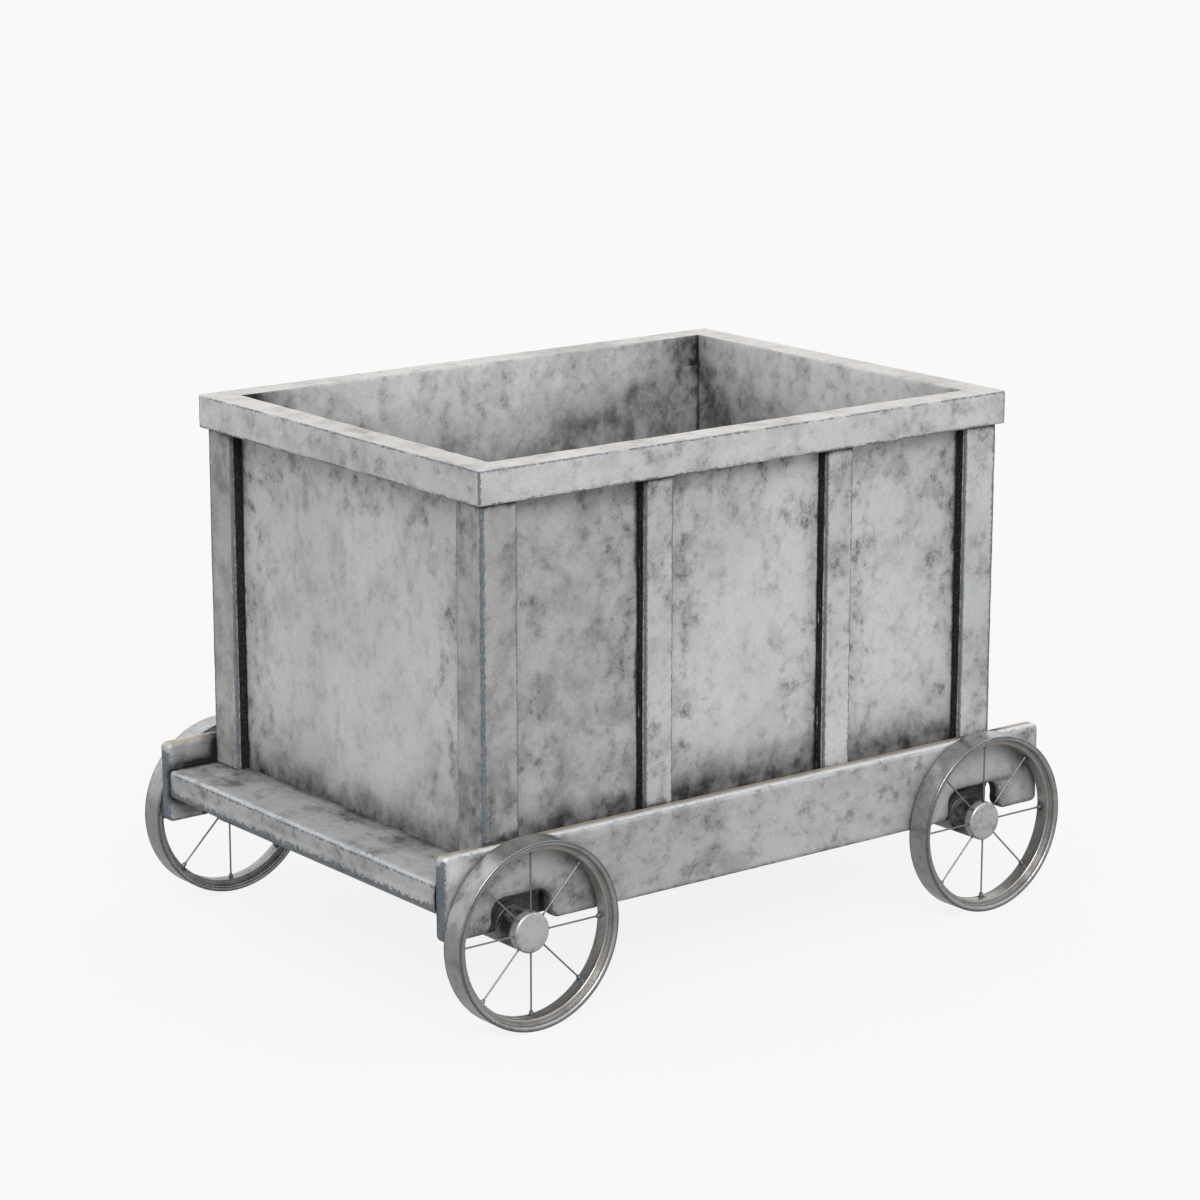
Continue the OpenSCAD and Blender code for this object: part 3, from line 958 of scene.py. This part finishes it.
def build_axles(material):
    for end in ENDS:
        node = f"axle_beam_{end}"
        low, high = node_box(node)
        radius = (high[2] - low[2]) / 2
        spindle_end = AXLE_SHOULDER + SPINDLE_LENGTH
        half = [
            (radius, AXLE_SHOULDER), (SPINDLE_RADIUS, AXLE_SHOULDER), (SPINDLE_RADIUS, spindle_end),
            (STUB_RADIUS, spindle_end), (STUB_RADIUS, high[1]), (0.5 * MM, high[1]),
        ]
        other_half = [(r, -y) for r, y in half[::-1]]
        rounds = [2 * MM] + [0] * 10 + [2 * MM]
        centre = wheel_centre(f"{end}_left")
        solid = turned(half + other_half, rounds, centre, AXLE_STEPS, step=0.04)
        add_piece(f"axle_{end}", solid, "chassis", [node], "axle_iron", material)


def spoke_angles():
    return [2 * math.pi * k / SPOKE_COUNT for k in range(SPOKE_COUNT)]


def nipple_gaps(points, centre, radius, y):
    """The distance from each point of the rim to the nearest spoke nipple's foot."""
    gaps = np.full(len(points), FAR)
    for angle in spoke_angles():
        foot = np.array([centre[0] + radius * math.sin(angle), y, centre[2] + radius * math.cos(angle)])
        gaps = np.minimum(gaps, np.linalg.norm(points - foot, axis=1))
    return np.maximum(gaps - 3 * MM, 0)


def spoke_set(profile, edge, centre, y, steps):
    """A small turned piece at every spoke, its axis pointing away from the wheel's axis."""
    points, faces, found = lathe(profile, np.full(len(profile), edge), (0, 0, 0), steps, closed=False)
    outwards = np.column_stack([points[:, 0], -points[:, 2], points[:, 1]])
    pieces = []
    for angle in spoke_angles():
        turn = np.array(Matrix.Rotation(angle, 3, "Y"))
        pieces.append((outwards @ turn.T + np.array([centre[0], y, centre[2]]), faces, found))
    return join(*pieces)


def from_axis(points, centre):
    return np.hypot(points[:, 0] - centre[0], points[:, 2] - centre[2])


def distances_out(box):
    """How far from the middle of the cart a wheel's piece starts and stops, along Y."""
    return sorted((abs(box[0][1]), abs(box[1][1])))


def build_wheel_rim(corner, centre, material):
    """The rim has painted shade in its groove and inner half, and a tan stain along the foot of its
    lip.
    """
    node = f"wheel_rim_{corner}"
    box = node_box(node)
    radius = (box[1][2] - box[0][2]) / 2
    inner, outer = distances_out(box)
    lip, well = radius - LIP, radius - WELL
    foot = outer - LIP_DEPTH
    profile = [
        (radius, inner), (radius, outer), (lip, outer), (lip - LIP_TAPER, foot), (well, foot),
        (well, inner + LIP_DEPTH), (lip - LIP_TAPER, inner + LIP_DEPTH), (lip, inner),
    ]
    rounds = [2.5 * MM, 2.5 * MM, 4 * MM, 1.5 * MM, 3 * MM, 3 * MM, 1.5 * MM, 4 * MM]
    solid = turned(profile, rounds, centre, RIM_STEPS, CORNERS[corner][1], unworn=range(2, 8))
    points = solid[0]
    from_axle = from_axis(points, centre)
    behind_foot = foot - np.abs(points[:, 1])
    stain = BEAD_STAIN * np.exp(-np.hypot(from_axle - well, behind_foot) / (4 * MM))
    shade = GROOVE_SHADE * np.exp(-np.hypot(from_axle - lip, behind_foot) / (3 * MM))
    far_in = np.clip(behind_foot / (foot - inner), 0, 1)
    shade = np.maximum(shade, WELL_SHADE * far_in * (from_axle < lip))
    nipples = node_box(f"spoke_nipples_{corner}")
    reach = (nipples[1][2] - nipples[0][2]) / 2
    seams = nipple_gaps(points, centre, reach, (nipples[0][1] + nipples[1][1]) / 2)
    add_piece(f"rim_{corner}", solid, f"wheel_{corner}", [node], "wheel_iron", material,
              seam=seams, stain=stain, shade=shade)
    return well


def build_spokes(corner, centre, well, hub_radius, wire, nipple):
    body = f"wheel_{corner}"
    node = f"wheel_spokes_{corner}"
    low, high = node_box(node)
    y = (low[1] + high[1]) / 2
    radius = (high[1] - low[1]) / 2
    levels = np.linspace(SPOKE_FOOT, (high[2] - low[2]) / 2, 16)
    solid = spoke_set(np.column_stack([np.full(16, radius), levels]), FAR, centre, y, 12)
    hub_gap = from_axis(solid[0], centre) - hub_radius
    add_piece(f"spokes_{corner}", solid, body, [node], "spoke_wire", wire,
              seam=np.maximum(hub_gap, 0))

    node = f"spoke_nipples_{corner}"
    low, high = node_box(node)
    thick = (high[1] - low[1]) / 2
    start = well - NIPPLE_LENGTH
    neck = start + NIPPLE_NECK
    profile = np.array([
        (radius, start), (0.62 * thick, start + 0.3 * MM), (0.72 * thick, neck - 0.5 * MM),
        (0.95 * thick, neck), (thick, neck + 0.8 * MM), (thick, (high[2] - low[2]) / 2),
    ])
    add_piece(f"nipples_{corner}", spoke_set(profile, 0.0, centre, y, 20), body, [node],
              "spoke_wire", nipple)


def build_hub(corner, centre, material):
    """The hub has painted shade behind its flange, and the cap towards its lower edge."""
    body = f"wheel_{corner}"
    side = CORNERS[corner][1]
    node = f"wheel_hub_{corner}"
    box = node_box(node)
    face = (box[1][2] - box[0][2]) / 2
    start, stop = distances_out(box)
    flange = stop - FLANGE_LENGTH
    profile = [
        (BORE_RADIUS, start), (BARREL_RADIUS, start), (BARREL_RADIUS, flange), (face, flange),
        (face, stop), (BORE_RADIUS, stop),
    ]
    solid = turned(profile, [0, 2 * MM, 0, 0, 0, 0], centre, HUB_STEPS, side, unworn=(1,))
    behind = np.clip((flange + 4 * MM - np.abs(solid[0][:, 1])) / (8 * MM), 0, 1)
    add_piece(f"hub_{corner}", solid, body, [node], "wheel_iron", material,
              shade=HUB_SHADE * behind)

    node = f"hub_cap_{corner}"
    spigot_start, tip = distances_out(node_box(node))
    inside = SPIGOT_RADIUS - SPIGOT_WALL
    profile = [
        (PIN_HOLE, stop), (inside, stop), (inside, spigot_start), (SPIGOT_RADIUS, spigot_start),
        (SPIGOT_RADIUS, stop), (face, stop), (face, tip), (PIN_HOLE, tip),
    ]
    solid = turned(profile, [0] * 6 + [CAP_ROUND, 0], centre, HUB_STEPS, side, unworn=(6,))
    drop = centre[2] - solid[0][:, 2]
    from_edge = face - from_axis(solid[0], centre)
    shade = CAP_SHADE * np.exp(-from_edge / (5 * MM)) * np.clip(0.3 + drop / face, 0, 1)
    add_piece(f"cap_{corner}", solid, body, [node], "wheel_iron", material, shade=shade)


# ---------- Stage ----------

def look_from(azimuth, elevation, distance, target):
    """A place at the given angles from the target. Azimuth 0 looks along +Y."""
    az, el = math.radians(azimuth), math.radians(elevation)
    direction = Vector((math.sin(az) * math.cos(el), -math.cos(az) * math.cos(el), math.sin(el)))
    return target + distance * direction


def aim(obj, target):
    obj.rotation_euler = (target - obj.location).to_track_quat("-Z", "Y").to_euler()


def build_camera():
    data = bpy.data.cameras.new("camera")
    data.lens = CAMERA_LENS
    data.sensor_width = SENSOR
    camera = new_object("camera", data)
    camera.location = look_from(CAMERA_AZIMUTH, CAMERA_ELEVATION, CAMERA_DISTANCE, CAMERA_TARGET)
    aim(camera, CAMERA_TARGET)
    bpy.context.scene.camera = camera


def build_key_light():
    data = bpy.data.lights.new("key", "SUN")
    data.energy = KEY_STRENGTH
    data.angle = math.radians(KEY_SPREAD)
    data.color = KEY_COLOUR
    light = new_object("key", data)
    target = Vector((0, 0, 0.4))
    light.location = look_from(KEY_AZIMUTH, KEY_ELEVATION, 5.0, target)
    aim(light, target)


def camera_ray(s):
    return s.node("LightPath").outputs["Is Camera Ray"]


def build_world():
    """The camera sees a flat pale backdrop. Everything else is lit by a soft sky."""
    world = bpy.data.worlds.new("studio")
    bpy.context.scene.world = world
    s = Shader(world)
    s.tree.nodes.clear()
    place = s.node("TexCoord").outputs["Generated"]
    height = s.node("SeparateXYZ", (place,)).outputs["Z"]
    sky = s.node("Background", (SKY_COLOUR, s.ramp(height, 0.0, 0.8, SKY_LOW, SKY_HIGH)))
    flat = s.node("Background", ((BACKDROP, BACKDROP, BACKDROP, 1.0),))
    chosen = s.node("MixShader", (camera_ray(s), sky.outputs[0], flat.outputs[0]))
    s.node("OutputWorld", (chosen.outputs[0],))


def build_ground():
    """A wide pale floor. It glows for the camera, so that the shadows on it stay faint."""
    mesh = bpy.data.meshes.new("ground")
    bm = bmesh.new()
    bmesh.ops.create_circle(bm, cap_ends=True, radius=60, segments=96)
    bm.to_mesh(mesh)
    bm.free()
    ground = new_object("ground", mesh)
    s = Shader(bpy.data.materials.new("pale_floor"))
    s.finish("Base Color", (FLOOR_ALBEDO, FLOOR_ALBEDO, FLOOR_ALBEDO, 1.0))
    s.finish("Roughness", 0.9)
    s.finish("Specular IOR Level", 0.0)
    s.finish("Emission Color", (1.0, 1.0, 1.0, 1.0))
    glow = s.ramp(camera_ray(s), 0.0, 1.0, FLOOR_BOUNCE, FLOOR_GLOW)
    s.finish("Emission Strength", glow)
    mesh.materials.append(s.owner)


# ---------- The cart ----------

def build_cart():
    frame_steel = aged_steel("frame_steel", 0.48, 0.14, blotches=0.85, edge_width=8 * MM)
    rim_steel = aged_steel("rim_steel", 0.50, 0.14, blotches=0.9, stretch=(0.9, 0.9, 0.9),
                           edge_width=4.5 * MM)
    wall_steel = aged_steel("wall_steel", 0.50, 0.13, middle=0.5)
    # the plates and beams get strong painted highlights on their upward worn edges
    plate_steel = aged_steel("plate_steel", 0.46, 0.11, stretch=(0.8, 0.8, 0.9), pale=0.8,
                             edge_width=5 * MM, ragged=0.6, tan=0.12, metallic=0.4, roughness=0.40)
    beam_steel = aged_steel("beam_steel", 0.48, 0.11, stretch=(0.8, 0.6, 0.9), pale=0.6,
                            edge_width=5 * MM, ragged=1.0, tan=0.08, metallic=0.4, roughness=0.40)
    # a lighter copy of the wall steel for the faces inside the bin: painted light
    inner_steel_painted_light = aged_steel("inner_steel_painted_light", 0.67, 0.15, middle=0.7)
    under_steel = aged_steel("under_steel", 0.30, 0.08, edge_width=3 * MM)
    floor_steel = aged_steel("floor_steel", 0.36, 0.07, seam_width=20 * MM)
    wheel_iron = aged_steel("wheel_iron", 0.42, 0.16, blotches=0.6, stretch=(2, 2, 2), tan=0.06,
                            edge_width=1.8 * MM, edge_strength=0.75, metallic=0.9, roughness=0.25,
                            bump=0.05)
    hub_iron = aged_steel("hub_iron", 0.50, 0.14, blotches=0.8, stretch=(2.5, 2.5, 2.5), tan=0.12,
                          edge_width=1.5 * MM, metallic=0.6, roughness=0.36, bump=0.15)
    axle_iron = aged_steel("axle_iron", 0.26, 0.06, stretch=(1, 0.6, 1), tan=0.15, metallic=0.5)
    wire = aged_steel("wire", 0.24, 0.08, blotches=0.4, stretch=(1, 1, 1), tan=0.0,
                      metallic=0.8, roughness=0.35)
    nipple = aged_steel("nipple", 0.26, 0.10, blotches=0.5, stretch=(1, 1, 1), edge_width=2 * MM,
                        metallic=0.7, roughness=0.4)

    batten_low, batten_high = node_box("side_batten_front_left")
    depth = batten_high[1] - node_box("side_panel_left")[1][1]
    posts = [leg for corner in CORNERS for leg in post_boxes(corner, depth)]
    battens = [node_box(f"side_batten_{corner}") for corner in CORNERS]
    rails = [node_box(f"rim_{kind}_rail_{name}") for kind, names, _ in WALLS for name in names]
    plates = [node_box(f"side_plate_{side}") for side in SIDES]
    beams = [node_box(f"end_beam_{end}") for end in ENDS]
    side_sheets = [node_box(f"side_panel_{side}") for side in SIDES]
    end_sheets = [node_box(f"end_panel_{end}") for end in ENDS]
    post_x, post_y, _ = node_box("corner_post_front_left")[0]
    marks_x = [s * x for s in (1, -1) for x in (post_x, batten_low[0], batten_high[0])]
    marks = {"side": (marks_x, (), ()), "end": ((), [post_y, -post_y], ())}

    build_posts(depth, frame_steel, plates + beams + rails)
    build_battens(frame_steel, plates + rails + side_sheets)
    build_panels(depth, wall_steel, inner_steel_painted_light, posts + battens + rails, plates + beams, marks)
    build_rim(rim_steel, inner_steel_painted_light)
    build_side_plates(plate_steel, beams + posts)
    build_end_beams(beam_steel, plates + end_sheets)
    build_channels(under_steel, beam_steel)
    build_floor(floor_steel, side_sheets + end_sheets)
    for corner in CORNERS:
        centre = wheel_centre(corner)
        hub_low, hub_high = node_box(f"wheel_hub_{corner}")
        well = build_wheel_rim(corner, centre, wheel_iron)
        build_spokes(corner, centre, well, (hub_high[2] - hub_low[2]) / 2, wire, nipple)
        build_hub(corner, centre, hub_iron)
    build_axles(axle_iron)


def finish_hidden_nodes(nodes):
    """Gives the CAD nodes that stay visible a finish of their own. The axle blocks and tie bars are
    nearly black, as painted shade in the notches.
    """
    iron = cad_steel("dark_iron", 0.24)
    # nearly black finishes that stand for the shade in the notches
    steel = cad_steel("block_steel_painted_shade", 0.09)
    shadowed = cad_steel("bar_steel_painted_shade", 0.05)
    bronze = cad_steel("bronze", 0.34, warmth=0.45, roughness=0.35, metallic=0.9)
    finishes = {
        "axle_block": steel, "tie_bar": shadowed, "axle_nuts": iron,
        "thrust_washers": bronze, "hub_bushes": bronze,
    }
    for name, obj in nodes.items():
        for start, material in finishes.items():
            if name.startswith(start):
                for slot in obj.material_slots:
                    slot.material = material


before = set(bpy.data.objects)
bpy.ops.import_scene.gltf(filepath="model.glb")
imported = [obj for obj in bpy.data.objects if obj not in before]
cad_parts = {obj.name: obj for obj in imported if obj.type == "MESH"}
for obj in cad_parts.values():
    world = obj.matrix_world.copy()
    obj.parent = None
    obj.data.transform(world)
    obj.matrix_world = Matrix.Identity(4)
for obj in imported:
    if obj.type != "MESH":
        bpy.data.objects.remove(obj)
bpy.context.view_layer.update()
noise.seed_set(SEED)
bpy.context.scene.view_settings.view_transform = "Standard"

build_camera()
build_world()
build_ground()
build_key_light()
build_cart()
finish_hidden_nodes(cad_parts)
